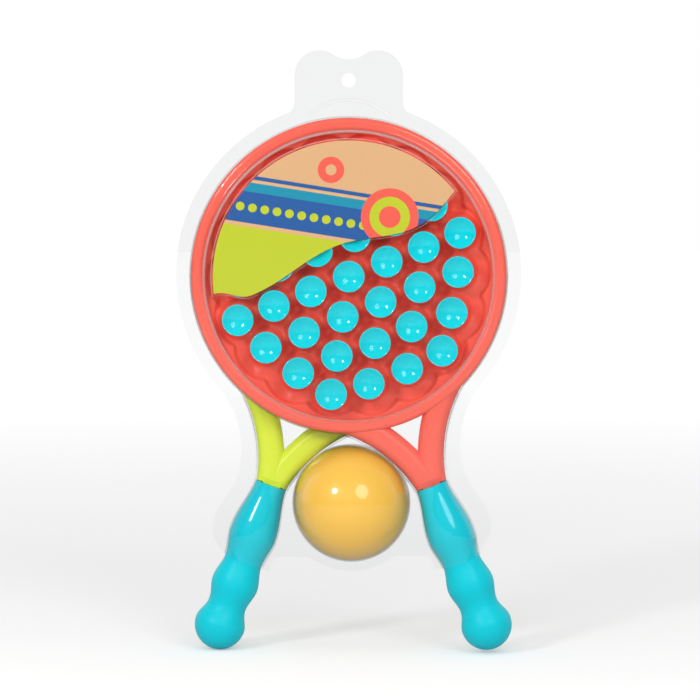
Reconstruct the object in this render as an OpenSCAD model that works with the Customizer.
// Paddle ball game: two paddles faced with suction cups and a hollow ball, packed in a clear blister.
// Everything is drawn flat, x to the right, y up and z towards the viewer, and upright() stands it up.
// The origin is the middle of the hang hole, where the two shells of the blister meet.

/* [Layout] */
// Height of the hang hole above the heads
hang_up = 24; // [22:1:38]
// Lean of the front paddle's handle, in degrees
front_lean = 21.5; // [20:0.1:26]
// Lean of the rear paddle's handle, in degrees
rear_lean = 20.2; // [20:0.1:26]
// Gap between the two paddles, back to back
paddle_gap = 1; // [0.6:0.1:3]
// Clearance of each packed piece in the blister
pack_clear = 0.5; // [0.4:0.1:0.8]
// Gap between the ball and the nearest throat arm, seen from the front
ball_gap = 0.5; // [0.5:0.1:2]

/* [Paddle frame] */
// Outer radius of the head ring
head_r = 102; // [96:1:108]
// Width of the head ring
ring_w = 8.5; // [8:0.5:10]
// Rounding of the ring's front and back edges
ring_round = 3; // [2:0.5:4]
// Depth of the head ring, front to back
ring_depth = 15; // [14:0.5:18]
// Distance from the ring to the top of the grip
throat_len = 44.5; // [42:0.5:50]
// Radius of the throat's outer edges
throat_r = 92; // [86:1:98]
// Slope of the throat's outer edges where they meet the grip, in degrees
throat_slope = 11; // [9:0.5:13]
// Width of a throat arm
arm_w = 17; // [14:0.5:18]
// Depth of a throat arm, front to back
arm_depth = 13; // [11:0.5:13.5]
// Radius of the tang inside the grip
tang_r = 6; // [5:0.5:7]
// Length of the tang below the grip's top
tang_len = 88; // [60:1:95]
// Radius of the pegs that locate the two halves of a frame
peg_r = 1.2; // [0.8:0.1:1.5]
// Height of those pegs
peg_h = 3; // [2:0.5:4]
// Number of those pegs
peg_count = 8; // [4:1:12]
// Clearance of parts that are pushed together
push_clear = 0.05; // [0.03:0.01:0.08]

/* [Playing face] */
// Thickness of the egg-crate sheet
sheet_t = 1.5; // [1.2:0.1:1.8]
// Reach of the sheet's edge into the ring
sheet_bite = 3.5; // [2.5:0.5:4]
// Depth of the valleys behind the sheet's edge
valley_depth = 2.5; // [2:0.1:3]
// Height of the mounds above the sheet's edge
mound_h = 5; // [4:0.5:6]
// Radius of a mound's top
mound_top_r = 6.2; // [5.5:0.1:7]
// Gap between the feet of neighbouring mounds
mound_gap = 1.6; // [1.4:0.1:2.4]
// Gap between the outermost mounds and the scalloped border
face_margin = 2.3; // [1:0.1:4]
// Radius of a scallop in the sheet's border
scallop_r = 20; // [17:0.5:22]
// Number of scallops round the border
scallop_count = 18; // [18:1:18]
// Gap between the egg-crate's wall and the ring
scallop_gap = 0.5; // [0.3:0.1:1]

/* [Suction cups] */
// Diameter of a cup's lip
cup_d = 20.4; // [18:0.1:22]
// Height of a cup above its mound
cup_h = 8.4; // [7:0.1:9]
// Depth of a cup's dish
dish_depth = 3.2; // [2.5:0.1:4]
// Thickness of a cup's lip
lip_t = 0.6; // [0.5:0.1:1]
// Radius of a cup's foot
foot_r = 5.6; // [5:0.1:6]
// Radius of a cup's waist
waist_r = 4.6; // [4:0.1:5]
// Radius of a cup's stem
stem_r = 3; // [2.5:0.1:3.4]
// Radius of the button behind the sheet
button_r = 4.6; // [4.2:0.1:5]
// Thickness of the button
button_t = 1.4; // [1:0.1:1.8]
// Gap between a cup and the sheet
seat_gap = 0.1; // [0.05:0.01:0.2]

/* [Grip] */
// Radius of the grip's top
grip_top_r = 10.3; // [9:0.1:11]
// Radius of the upper bead
bead_1_r = 15.2; // [14:0.1:16]
// Radius of the upper neck
neck_1_r = 12.5; // [11:0.1:13]
// Radius of the lower bead
bead_2_r = 15.4; // [14:0.1:16]
// Radius of the lower neck
neck_2_r = 12.6; // [11:0.1:13]
// Radius of the round end
end_r = 16.6; // [15:0.1:18]
// Distance from the grip's top to the upper bead
bead_1_at = 34.5; // [32:0.5:37]
// Distance from the grip's top to the upper neck
neck_1_at = 53.1; // [51:0.1:55]
// Distance from the grip's top to the lower bead
bead_2_at = 69.3; // [67:0.1:71]
// Distance from the grip's top to the lower neck
neck_2_at = 84; // [82:0.5:86]
// Distance from the grip's top to the middle of the round end
end_at = 97.8; // [97:0.1:102]

/* [Ball] */
// Diameter of the ball
ball_d = 75; // [66:1:82]
// Wall of the ball
ball_wall = 2; // [1.5:0.1:3]
// Radius of the filling plug
plug_r = 3; // [2:0.1:4]
// Radius of the plug's flange inside the ball
plug_flange_r = 4.6; // [4.2:0.1:6]
// Thickness of the plug's flange
plug_flange_t = 1; // [0.8:0.1:1.5]

/* [Insert card] */
// Gap between the card's round edge and the inside of the ring
card_inset = 6; // [4.5:0.5:11.5]
// Thickness of the card
card_t = 0.5; // [0.4:0.1:0.8]
// Gap between the card and what lies on each side of it
card_gap = 0.5; // [0.4:0.1:0.6]
// Room round the card in its pocket
pocket_room = 1; // [0.6:0.1:1.5]

/* [Blister] */
// Wall of the clear shells
wall = 0.5; // [0.4:0.05:0.8]
// Gap between the two flanges
flange_gap = 0.1; // [0.06:0.02:0.2]
// Width of the flange round the heads
head_flange_w = 9; // [7:0.5:12]
// Width of the flange round the ball
ball_flange_w = 6.3; // [5:0.1:8]
// Width of the flange outside a handle
handle_flange_w = 6.5; // [5:0.5:8]
// Width of the flange between a handle and the ball
inner_flange_w = 1.5; // [1:0.1:3]
// Draft of the step from the shoulder to the window, in mm
window_draft = 1; // [0.6:0.1:1.5]
// Fillet at the foot of that step
window_fillet = 3.5; // [2:0.5:3.5]
// Width of the front window round its raised middle
plateau_inset = 14.5; // [9:0.5:23.5]
// Height of that raised middle
plateau_h = 0.4; // [0.3:0.1:0.6]
// Distance that a handle cover starts above the grip's top
cover_lead = 3; // [2:0.5:5]
// Depth of the flat on top of the dome over the ball
dome_flat = 0.1; // [0.05:0.05:0.2]
// Fillet between the head and handle flanges
waist_fillet = 60; // [40:1:80]
// Radius of the outer corner of a handle flange
corner_r = 22; // [18:0.5:24]
// Distance of that corner's middle from the handle's axis
corner_at = 5.5; // [3:0.5:8]
// Distance from the grip's top to where a handle flange starts to flare
flare_drop = 4; // [2:0.5:8]
// Depth of the web below the middle of the ball
web_drop = 35; // [30:0.5:38]
// Half width of that web
web_half_w = 50; // [44:1:56]

/* [Header] */
// Radius of the hang hole
hang_hole_r = 4.7; // [3:0.1:6]
// Radius of the header's two lobes
lobe_r = 16; // [14:0.5:17]
// Distance of a lobe's middle from the header's middle
lobe_at = 19; // [18:0.5:22]
// Height of a lobe's middle above the hang hole
lobe_up = 3.4; // [2:0.1:5]
// Height of the dip between the lobes above the hang hole
dip_up = 13.5; // [12:0.1:14.5]
// Fillet between the header and the head flange
header_fillet = 8; // [5:0.5:12]
// Radius of the stiffening bead under the hang hole
bead_arc_r = 38.8; // [34:0.1:42]
// Height of the bead's top below the hang hole
bead_drop = 12.5; // [11:0.1:13]
// Half width of the bead
bead_half_w = 1.1; // [0.8:0.1:1.5]

/* [Hidden] */
$fn = 72;

// Overrun of every cut past the faces that it opens
overrun = 1;

// Tuck of a fillet into the edges that it joins, and of a cut through a shell past the nearest bend
tuck = 0.1;

// Steps of an arc or a wave between two of its points
arc_steps = 12;
wave_steps = 8;

// The middle of the heads lies this far below the hang hole
head_drop = head_r + hang_up;

// Paddle: the ring's middle plane lies this far in front of the parting plane of the blister
paddle_z = (paddle_gap + ring_depth) / 2;
ring_inner_r = head_r - ring_w;
ring_mid_r = head_r - ring_w / 2;
groove_r = ring_inner_r + sheet_bite + push_clear;
groove_half = sheet_t / 2 + push_clear;
peg_circle_r = (groove_r + head_r) / 2;

// Throat: the outer edge of an arm is an arc from the grip's top to the ring
grip_from = head_r + throat_len;
throat_x = grip_top_r + throat_r * cos(throat_slope);
throat_y = grip_from + throat_r * sin(throat_slope);
arm_from = atan2(throat_y, -throat_x);
arm_to = 180 - throat_slope;
arm_round = arm_depth / 2;
neck_block_h = throat_len / 4;

// Playing face: three rings of cups round the middle one, as wide as the scalloped border lets them stand.
// The rings are hexagons that are drawn a little towards a circle, each ring by one more share.
cup_rings = 3;
rounding_share = 0.1;
corner_away = cup_rings + rounding_share * cup_rings * (ring_mean(cup_rings) - cup_rings);
face_r = ring_inner_r - scallop_gap - sheet_t;
cup_pitch = (face_r - face_margin + mound_gap / 2) / (corner_away + 1 / 2);
row_step = cup_pitch * sin(60);
mound_foot_r = (cup_pitch - mound_gap) / 2;
mound_slope = (mound_foot_r - mound_top_r) / (valley_depth + mound_h);
mound_skin = sheet_t * sqrt(1 + mound_slope * mound_slope);
cup_foot_z = mound_h + seat_gap;
cup_top_z = cup_foot_z + cup_h;
button_top_z = mound_h - sheet_t - seat_gap;
dish_r = cup_d / 2 - lip_t;
dish_ball_r = (dish_r * dish_r + dish_depth * dish_depth) / (2 * dish_depth);

// Grip: distance from its top and radius at each neck and bead
grip_swells = [
  [0, grip_top_r], [bead_1_at, bead_1_r], [neck_1_at, neck_1_r], [bead_2_at, bead_2_r],
  [neck_2_at, neck_2_r], [end_at, end_r]
];

// Ball: it nests between the two throats, on the line that halves the angle of the handles
ball_r = ball_d / 2;
half_lean = (front_lean + rear_lean) / 2;
ball_turn = (front_lean - rear_lean) / 2;
nest_r = throat_r - ball_r - ball_gap;
nest_along = throat_x * sin(half_lean) + throat_y * cos(half_lean);
nest_away2 = throat_x * throat_x + throat_y * throat_y;
ball_away = nest_along - sqrt(nest_along * nest_along - nest_away2 + nest_r * nest_r);

// Blister: depths are measured from the parting plane
drum_r = head_r + pack_clear;
shoulder_z = paddle_z + ring_depth / 2 + pack_clear;
shoulder_round = ring_round + pack_clear;
window_z = paddle_z + cup_top_z + pack_clear;
window_r = ring_inner_r;
plateau_r = window_r - plateau_inset;
card_r = window_r - card_inset;
card_z = paddle_z + cup_top_z + card_gap;
pocket_z = card_z + card_t + card_gap;
channel_r = max(bead_1_r, bead_2_r) + pack_clear;
cover_end = grip_from + neck_1_at;
throat_cover_z = paddle_z + arm_depth / 2 + pack_clear;
throat_lap = 1;
dome_r = ball_r + pack_clear;
head_flange_r = drum_r + wall + head_flange_w;
ball_flange_r = dome_r + wall + ball_flange_w;
handle_out = channel_r + wall + handle_flange_w;
handle_in = channel_r + wall + inner_flange_w;
header_half_w = lobe_at + lobe_r;
dip_r = (pow(lobe_at, 2) + pow(dip_up - lobe_up, 2) - pow(lobe_r, 2)) / (2 * (lobe_r - dip_up + lobe_up));

// Zones of a shell: it is one sheet, drawn as several nodes that meet at these heights and distances
flange_top_z = flange_gap / 2 + wall;
shoulder_cut_z = shoulder_z + wall + window_fillet / 2;
window_cut_z = window_z - tuck;
pocket_cut_z = pocket_z - tuck / 2;
zone_top_z = window_z + ball_d;
dome_zone_r = dome_r + wall + tuck;
head_zone_r = ball_away - dome_zone_r;
head_zone_end = drum_r + wall + tuck;
own_zone_half_w = 3 * channel_r;
other_zone_half_w = channel_r + wall + tuck;
other_zone_from = grip_from - cover_lead - wall - tuck;

// Insert card: places along the wavy lower edge, as shares of the card's radius, from left to right.
// The last place lies outside the card, so that the edge still rises where it meets the round.
wave_left_share = 0.245;
wave_x_shares = [-0.72, 0, 0.56, 1.4];
wave_y_shares = [0.134, 0.245, 0.155, 0.48];

// The header's bead spans this angle to each side of the middle
bead_half_angle = 42;

// Points of an arc round c from angle a to angle b
function arc(c, r, a, b) =
  [for (i = [0 : arc_steps]) let (t = a + (b - a) * i / arc_steps) c + r * [cos(t), sin(t)]];

// Points from p to q that leave and arrive level, without q itself
function swell(p, q) =
  [for (i = [0 : wave_steps - 1]) let (t = i / wave_steps)
    [p[0] + (q[0] - p[0]) * t, p[1] + (q[1] - p[1]) * (1 - cos(180 * t)) / 2]];

// Points along the side of a grip over the given number of its swells, without the last one
function grip_side(count) = [for (k = [0 : count - 1]) each swell(grip_swells[k], grip_swells[k + 1])];

// Mean distance of the cups in hexagon k from the middle, in pitches
function ring_mean(k, j = 0) = j == k ? 0 : sqrt(k * k - k * j + j * j) / k + ring_mean(k, j + 1);

// Place of the cup that lies so many rows up and so many half pitches across
function cup_at(up, across) =
  let (p = [across / 2 * cup_pitch, up * row_step], k = max(abs(up), (abs(up) + abs(across)) / 2))
  k == 0 ? p : p * (1 + rounding_share * k * (ring_mean(k) * cup_pitch / norm(p) - 1));

// Stands the flat drawing up: y becomes height, and z points at the viewer
module upright() rotate([90, 0, 0]) children();

// Turns a piece drawn for the front so that it faces backwards
module facing_back() rotate([0, 180, 0]) children();

// Puts a paddle's own frame, with the handle along -y, at its place and lean
module leaning(lean) translate([0, -head_drop, 0]) rotate([0, 0, lean]) children();

// Lays a piece that is drawn along z down along the handle
module along_handle(from) rotate([90, 0, 0]) translate([0, 0, from]) children();

// Paddle frame

// Front half of the ring's section, with round edges at the front
module ring_half()
  rotate_extrude() translate([ring_inner_r, 0]) {
    square([ring_w, ring_depth / 2 - ring_round]);
    translate([ring_round, 0]) square([ring_w - 2 * ring_round, ring_depth / 2]);
    intersection() {
      for (x = [ring_round, ring_w - ring_round])
        translate([x, ring_depth / 2 - ring_round]) circle(r = ring_round);
      square([ring_w, ring_depth / 2]);
    }
  }

// Front half of an arm, with round sides
module arm_half()
  translate([throat_x, -throat_y, 0]) rotate([0, 0, arm_from]) rotate_extrude(angle = arm_to - arm_from)
    translate([throat_r, 0]) intersection() {
      union() {
        for (x = [arm_round, arm_w - arm_round]) translate([x, 0]) circle(r = arm_round);
        translate([arm_round, 0]) square([arm_w - arm_depth, arm_round]);
      }
      square([arm_w, arm_round]);
    }

module throat_half() {
  difference() {
    union() {
      arm_half();
      mirror([1, 0, 0]) arm_half();
    }
    translate([0, 0, -overrun]) cylinder(r = ring_mid_r, h = arm_depth + overrun);
  }
  translate([-tang_r, -grip_from, 0]) cube([2 * tang_r, neck_block_h, tang_r]);
}

module tang_half()
  along_handle(grip_from - neck_block_h)
    rotate_extrude(angle = 180) square([tang_r, neck_block_h + tang_len]);

module frame_half() {
  difference() {
    union() {
      ring_half();
      throat_half();
    }
    translate([0, 0, -overrun]) cylinder(r = groove_r, h = groove_half + overrun);
  }
  tang_half();
}

module peg_places()
  for (k = [0 : peg_count - 1])
    rotate([0, 0, (k + 1 / 2) * 360 / peg_count]) translate([peg_circle_r, 0, 0]) children();

module frame_face()
  difference() {
    frame_half();
    peg_places() translate([0, 0, -overrun])
      cylinder(r = peg_r + push_clear, h = peg_h + push_clear + overrun);
  }

module frame_back() {
  mirror([0, 0, 1]) frame_half();
  peg_places() translate([0, 0, -peg_h]) cylinder(r = peg_r, h = 2 * peg_h);
}

// Playing face

// Places of the cups in one row, row 1 at the top
module cup_places(row) {
  up = cup_rings + 1 - row;
  reach = 2 * cup_rings - abs(up);
  for (across = [-reach : 2 : reach]) translate(cup_at(up, across)) children();
}

module all_cup_places() for (row = [1 : 2 * cup_rings + 1]) cup_places(row) children();

// Outline of the egg-crate inside the sheet's border, grown by the given width
module scalloped(grow) {
  circle(r = face_r - scallop_r / 2 + grow);
  for (k = [0 : scallop_count - 1]) rotate(k * 360 / scallop_count)
    translate([face_r - scallop_r, 0]) circle(r = scallop_r + grow);
}

module sheet()
  difference() {
    union() {
      difference() {
        union() {
          translate([0, 0, -sheet_t / 2]) cylinder(r = ring_inner_r + sheet_bite, h = sheet_t);
          translate([0, 0, -valley_depth - sheet_t])
            linear_extrude(valley_depth + 3 / 2 * sheet_t) scalloped(sheet_t);
        }
        translate([0, 0, -valley_depth]) linear_extrude(valley_depth + sheet_t) scalloped(0);
      }
      all_cup_places() translate([0, 0, -valley_depth - sheet_t / 2])
        cylinder(r1 = mound_foot_r + mound_slope * sheet_t / 2, r2 = mound_top_r,
          h = valley_depth + mound_h + sheet_t / 2);
    }
    all_cup_places() {
      translate([0, 0, -valley_depth - sheet_t - overrun])
        cylinder(r1 = mound_foot_r - mound_skin + mound_slope * (sheet_t + overrun),
          r2 = mound_top_r - mound_skin + mound_slope * sheet_t, h = valley_depth + mound_h + overrun);
      cylinder(r = stem_r + push_clear, h = mound_h + overrun);
    }
  }

// A suction cup on its mound: button, stem, foot, waist and dished lip
module cup()
  rotate_extrude() difference() {
    polygon([
      [0, button_top_z - button_t], [button_r, button_top_z - button_t], [button_r, button_top_z],
      [stem_r, button_top_z], [stem_r, cup_foot_z], [foot_r, cup_foot_z],
      [waist_r, cup_foot_z + cup_h / 4], [cup_d / 2, cup_top_z - lip_t], [cup_d / 2, cup_top_z],
      [0, cup_top_z]
    ]);
    translate([0, cup_top_z - dish_depth + dish_ball_r]) circle(r = dish_ball_r);
  }

// Grip

module grip()
  along_handle(grip_from + push_clear) difference() {
    rotate_extrude() polygon(concat(
      [[0, 0]],
      [for (p = grip_side(len(grip_swells) - 1)) [p[1], p[0]]],
      arc([0, end_at], end_r, 0, 90)
    ));
    translate([0, 0, -overrun]) cylinder(r = tang_r + push_clear, h = overrun + tang_len + push_clear);
  }

// Ball

module ball_place()
  translate([0, -head_drop, 0]) rotate([0, 0, ball_turn]) translate([0, -ball_away, 0]) children();

module ball()
  color("goldenrod") upright() ball_place() difference() {
    sphere(r = ball_r);
    sphere(r = ball_r - ball_wall);
    translate([0, 0, -ball_r - overrun]) cylinder(r = plug_r + push_clear, h = ball_wall + 2 * overrun);
  }

module ball_plug()
  color("orange") upright() ball_place() intersection() {
    sphere(r = ball_r);
    translate([0, 0, -ball_r]) union() {
      cylinder(r = plug_r, h = 2 * ball_wall);
      translate([0, 0, 2 * ball_wall - plug_flange_t]) cylinder(r = plug_flange_r, h = plug_flange_t);
    }
  }

// Insert card, in the front paddle's own frame

module card_outline(grow) {
  r = card_r + grow;
  left_x = -sqrt(1 - pow(wave_left_share, 2));
  stops = concat(
    [[left_x, wave_left_share]],
    [for (k = [0 : len(wave_x_shares) - 1]) [wave_x_shares[k], wave_y_shares[k]]]
  );
  last = stops[len(stops) - 1];
  wave = [for (k = [0 : len(stops) - 2]) each swell(stops[k], stops[k + 1])];
  intersection() {
    circle(r = r);
    polygon(concat(
      [for (p = concat(wave, [last])) p * card_r - [0, grow]],
      [[card_r * last[0], r], [-r, r], [-r, card_r * wave_left_share - grow]]
    ));
  }
}

module insert_card()
  color("burlywood") upright() leaning(front_lean)
    translate([0, 0, card_z]) linear_extrude(card_t) card_outline(0);

// Blister, drawn with its own paddle leaning to the right

// Fillet between a circle of radius r round the origin and an upright edge at x, tucked a little into both
module edge_fillet(r, x, fillet) {
  middle = [x - tuck + fillet, sqrt(pow(r - tuck + fillet, 2) - pow(x - tuck + fillet, 2))];
  turn = atan2(middle[1], middle[0]);
  polygon(concat([[0, 0]], arc(middle, fillet, 180 + turn, 180)));
}

module header_outline() {
  dip_turn = atan2(dip_up + dip_r - lobe_up, lobe_at);
  dip = arc([0, dip_up + dip_r], dip_r, 180 + dip_turn, 360 - dip_turn);
  polygon(concat(
    [[-header_half_w, -head_drop]],
    arc([-lobe_at, lobe_up], lobe_r, 180, dip_turn),
    [for (i = [1 : arc_steps - 1]) dip[i]],
    arc([lobe_at, lobe_up], lobe_r, 180 - dip_turn, 0),
    [[header_half_w, -head_drop]]
  ));
  for (side = [0, 1]) mirror([side, 0]) translate([0, -head_drop])
    edge_fillet(head_flange_r, header_half_w, header_fillet);
}

module handle_outline() {
  corner_y = -cover_end + corner_r;
  flare = swell([corner_y, corner_at + corner_r], [-grip_from - flare_drop, handle_out]);
  polygon(concat(
    [[-handle_in, 0], [-handle_in, -cover_end]],
    arc([corner_at, corner_y], corner_r, -90, 0),
    [for (p = flare) [p[1], p[0]]],
    [[handle_out, -grip_from - flare_drop], [handle_out, 0]]
  ));
  mirror([0, 1]) edge_fillet(head_flange_r, handle_out, waist_fillet);
}

module flange_outline(own_lean, other_lean) {
  header_outline();
  translate([0, -head_drop]) {
    circle(r = head_flange_r);
    rotate(own_lean) handle_outline();
    mirror([1, 0]) rotate(other_lean) handle_outline();
    rotate((own_lean - other_lean) / 2) translate([0, -ball_away]) {
      circle(r = ball_flange_r);
      translate([-web_half_w, -web_drop]) square([2 * web_half_w, web_drop]);
    }
  }
}

// Section of the drum over a head, grown by the given width: wall, rounded shoulder and window
module drum_section(grow)
  polygon(concat(
    [[0, -overrun], [drum_r + grow, -overrun]],
    arc([drum_r - shoulder_round, shoulder_z - shoulder_round], shoulder_round + grow, 0, 90),
    arc([window_r + window_fillet, shoulder_z + window_fillet], window_fillet - grow, 270, 180),
    [[window_r - window_draft + grow, window_z + grow], [0, window_z + grow]]
  ));

// Outline of the room over the throat, grown by the given width and then lapped further round the head
module throat_outline(grow) {
  from = arm_from - (grow > 0 ? throat_lap : 0);
  edge = arc([throat_x, -throat_y], throat_r - pack_clear - grow, from, arm_to);
  polygon(concat([[0, 0]], edge, [for (i = [arc_steps : -1 : 0]) [-edge[i][0], edge[i][1]]]));
}

// Side of the room round the upper part of a grip, grown by the given width, open at the grip's upper neck
function grip_room(grow) =
  let (side = [for (p = grip_side(2)) [p[1] + pack_clear + grow, grip_from + p[0]]],
    top = grip_from - cover_lead - grow, end = cover_end + (grow > 0 ? 0 : overrun),
    end_r = neck_1_r + pack_clear + grow)
  concat([[0, top], [side[0][0], top]], side, [[end_r, cover_end]], grow > 0 ? [] : [[end_r, end]],
    [[0, end]]);

// Room over the paddle's own throat and handle, straight below the middle of the grip
module own_cover(grow) {
  translate([0, 0, -overrun]) linear_extrude(throat_cover_z + overrun + grow) throat_outline(grow);
  translate([0, 0, paddle_z]) along_handle(0) rotate_extrude() polygon(grip_room(grow));
  translate([0, 0, -overrun]) linear_extrude(paddle_z + overrun) for (side = [0, 1]) mirror([side, 0])
    polygon([for (p = grip_room(grow)) [p[0], -p[1]]]);
}

// Room for the back of the other paddle's handle, grown by the given width
module other_cover(grow)
  translate([0, 0, -paddle_z]) along_handle(0) rotate_extrude() polygon(grip_room(grow));

// Room for the ball, flat on top
module dome(r)
  rotate_extrude() intersection() {
    circle(r = r);
    translate([0, -overrun]) square([r, r - dome_flat + overrun]);
  }

module blister_room(own_lean, other_lean, grow) {
  translate([0, -head_drop, 0]) rotate_extrude() drum_section(grow);
  leaning(own_lean) own_cover(grow);
  mirror([1, 0, 0]) leaning(other_lean) other_cover(grow);
  translate([0, -head_drop, 0]) rotate([0, 0, (own_lean - other_lean) / 2]) translate([0, -ball_away, 0])
    dome(dome_r + grow);
}

// Raised middle of the front window and the pocket for the card, grown by the given width
module card_room(grow) {
  translate([0, -head_drop, 0]) cylinder(r = plateau_r + grow, h = window_z + plateau_h + grow);
  leaning(front_lean) linear_extrude(pocket_z + grow) card_outline(pocket_room + grow);
}

module stiffening_bead()
  translate([0, -bead_drop - bead_arc_r, flange_top_z]) rotate([0, 0, 90 - bead_half_angle])
    rotate_extrude(angle = 2 * bead_half_angle) translate([bead_arc_r, 0]) intersection() {
      circle(r = bead_half_w);
      translate([-bead_half_w, -wall / 2]) square(2 * bead_half_w);
    }

// Flat sheet of a shell, with the header and the hang hole
module shell_flange(own_lean, other_lean)
  difference() {
    union() {
      translate([0, 0, flange_gap / 2]) linear_extrude(wall) flange_outline(own_lean, other_lean);
      stiffening_bead();
    }
    blister_room(own_lean, other_lean, 0);
    translate([0, 0, -overrun]) cylinder(r = hang_hole_r, h = wall + 2 * overrun);
  }

// Formed sheet over the heads, the card, the handles and the ball
module formed_sheet(own_lean, other_lean, with_card)
  difference() {
    union() {
      blister_room(own_lean, other_lean, wall);
      if (with_card) card_room(wall);
    }
    blister_room(own_lean, other_lean, 0);
    if (with_card) card_room(0);
  }

// Zone along a handle, from the given distance on to past the end of its cover
module cover_zone(half_w, from)
  translate([-half_w, -cover_end - overrun, flange_top_z])
    cube([2 * half_w, cover_end + overrun - from, zone_top_z]);

module own_zone(own_lean) leaning(own_lean) cover_zone(own_zone_half_w, head_zone_end);

module other_zone(other_lean)
  mirror([1, 0, 0]) leaning(other_lean) cover_zone(other_zone_half_w, other_zone_from);

module dome_zone(own_lean, other_lean)
  translate([0, -head_drop, flange_top_z]) rotate([0, 0, (own_lean - other_lean) / 2])
    translate([0, -ball_away, 0]) cylinder(r = dome_zone_r, h = zone_top_z);

// Zone round the heads between two heights
module head_zone(own_lean, from, to)
  difference() {
    translate([0, -head_drop, from]) cylinder(r = head_zone_r, h = to - from);
    own_zone(own_lean);
  }

// Part of a shell's formed sheet between two heights round the heads
module shell_level(own_lean, other_lean, with_card, from, to)
  intersection() {
    formed_sheet(own_lean, other_lean, with_card);
    head_zone(own_lean, from, to);
  }

module shell_dome(own_lean, other_lean)
  intersection() {
    formed_sheet(own_lean, other_lean, false);
    dome_zone(own_lean, other_lean);
  }

module shell_own_cover(own_lean, other_lean)
  difference() {
    intersection() {
      formed_sheet(own_lean, other_lean, false);
      own_zone(own_lean);
    }
    dome_zone(own_lean, other_lean);
  }

module shell_other_cover(own_lean, other_lean)
  difference() {
    intersection() {
      formed_sheet(own_lean, other_lean, false);
      other_zone(other_lean);
    }
    dome_zone(own_lean, other_lean);
  }

// Front shell at its place

module front_shell() color("whitesmoke", 0.3) upright() children();
module front_level(from, to) front_shell() shell_level(front_lean, rear_lean, true, from, to);

module front_shell_flange() front_shell() shell_flange(front_lean, rear_lean);
module front_shell_drum() front_level(flange_top_z, shoulder_cut_z);
module front_shell_wall() front_level(shoulder_cut_z, window_cut_z);
module front_shell_window() front_level(window_cut_z, pocket_cut_z);
module front_shell_pocket() front_level(pocket_cut_z, zone_top_z);
module front_shell_dome() front_shell() shell_dome(front_lean, rear_lean);
module front_shell_own_cover() front_shell() shell_own_cover(front_lean, rear_lean);
module front_shell_other_cover() front_shell() shell_other_cover(front_lean, rear_lean);

// Rear shell at its place

module rear_shell() color("whitesmoke", 0.3) upright() facing_back() children();
module rear_level(from, to) rear_shell() shell_level(rear_lean, front_lean, false, from, to);

module rear_shell_flange() rear_shell() shell_flange(rear_lean, front_lean);
module rear_shell_drum() rear_level(flange_top_z, shoulder_cut_z);
module rear_shell_wall() rear_level(shoulder_cut_z, window_cut_z);
module rear_shell_window() rear_level(window_cut_z, zone_top_z);
module rear_shell_dome() rear_shell() shell_dome(rear_lean, front_lean);
module rear_shell_own_cover() rear_shell() shell_own_cover(rear_lean, front_lean);
module rear_shell_other_cover() rear_shell() shell_other_cover(rear_lean, front_lean);

// Paddles at their places

module front_place() upright() leaning(front_lean) translate([0, 0, paddle_z]) children();
module rear_place() upright() facing_back() leaning(rear_lean) translate([0, 0, paddle_z]) children();

module front_frame_face() color("tomato") front_place() frame_face();
module front_frame_back() color("tomato") front_place() frame_back();
module front_sheet() color("indianred") front_place() sheet();
module front_grip() color("darkturquoise") front_place() grip();
module front_cups_row(row) color("turquoise") front_place() cup_places(row) cup();

module rear_frame_face() color("greenyellow") rear_place() frame_face();
module rear_frame_back() color("greenyellow") rear_place() frame_back();
module rear_sheet() color("yellowgreen") rear_place() sheet();
module rear_grip() color("darkturquoise") rear_place() grip();
module rear_cups_row(row) color("turquoise") rear_place() cup_places(row) cup();

rear_shell_flange();
rear_shell_drum();
rear_shell_wall();
rear_shell_window();
rear_shell_dome();
rear_shell_own_cover();
rear_shell_other_cover();
front_shell_flange();
front_shell_drum();
front_shell_wall();
front_shell_window();
front_shell_pocket();
front_shell_dome();
front_shell_own_cover();
front_shell_other_cover();
insert_card();
ball();
ball_plug();
front_frame_face();
front_frame_back();
front_sheet();
front_grip();
front_cups_row(1);  // front_cups_row_1
front_cups_row(2);  // front_cups_row_2
front_cups_row(3);  // front_cups_row_3
front_cups_row(4);  // front_cups_row_4
front_cups_row(5);  // front_cups_row_5
front_cups_row(6);  // front_cups_row_6
front_cups_row(7);  // front_cups_row_7
rear_frame_face();
rear_frame_back();
rear_sheet();
rear_grip();
rear_cups_row(1);  // rear_cups_row_1
rear_cups_row(2);  // rear_cups_row_2
rear_cups_row(3);  // rear_cups_row_3
rear_cups_row(4);  // rear_cups_row_4
rear_cups_row(5);  // rear_cups_row_5
rear_cups_row(6);  // rear_cups_row_6
rear_cups_row(7);  // rear_cups_row_7
